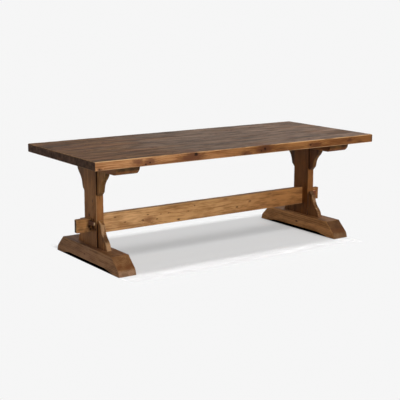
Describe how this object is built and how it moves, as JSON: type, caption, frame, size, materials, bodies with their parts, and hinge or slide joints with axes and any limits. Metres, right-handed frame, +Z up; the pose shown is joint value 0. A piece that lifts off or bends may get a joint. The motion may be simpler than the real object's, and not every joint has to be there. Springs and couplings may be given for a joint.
{
  "type": "trestle dining table",
  "caption": "Long wooden dining table: a thick board top on two trestles with sledge feet and curved brackets, tied by a stretcher with keyed through tenons.",
  "frame": {"origin": "on the floor under the middle of the top", "axes": "+X along the table, +Y from its front to its back, +Z up"},
  "size_m": [2.308, 0.952, 0.762],
  "materials": {
    "top_wood": "grey-brown stained pine, satin lacquer",
    "trestle_wood": "brown stained pine, satin lacquer",
    "stretcher_wood": "golden brown stained pine, satin lacquer",
    "key_wood": "brown stained hardwood, satin lacquer",
    "hidden_wood": "bare beech",
    "bolt_steel": "zinc plated",
    "insert_brass": "plain turned brass"
  },
  "bodies": {
    "table": {"top_board_1": "top_wood", "top_board_2": "top_wood", "top_board_3": "top_wood", "top_board_4": "top_wood", "top_board_5": "top_wood", "top_board_6": "top_wood", "top_board_7": "top_wood", "foot_left": "trestle_wood", "foot_right": "trestle_wood", "post_left": "trestle_wood", "post_right": "trestle_wood", "cleat_left": "trestle_wood", "cleat_right": "trestle_wood", "lower_bracket_left_front": "trestle_wood", "lower_bracket_left_back": "trestle_wood", "upper_bracket_left_front": "trestle_wood", "upper_bracket_left_back": "trestle_wood", "lower_bracket_right_front": "trestle_wood", "lower_bracket_right_back": "trestle_wood", "upper_bracket_right_front": "trestle_wood", "upper_bracket_right_back": "trestle_wood", "stretcher": "stretcher_wood", "top_tongues": "hidden_wood", "bracket_dowels_left": "hidden_wood", "bracket_dowels_right": "hidden_wood", "top_bolts": "bolt_steel", "bolt_washers": "bolt_steel", "threaded_inserts": "insert_brass"},
    "left_key": {"key_left": "key_wood"},
    "right_key": {"key_right": "key_wood"}
  },
  "joints": [
    {"name": "left_key_slide", "type": "slide", "parent": "table", "child": "left_key", "axis": [0, 1, 0], "range_m": [0, 0.1]},
    {"name": "right_key_slide", "type": "slide", "parent": "table", "child": "right_key", "axis": [0, -1, 0], "range_m": [0, 0.1]}
  ]
}
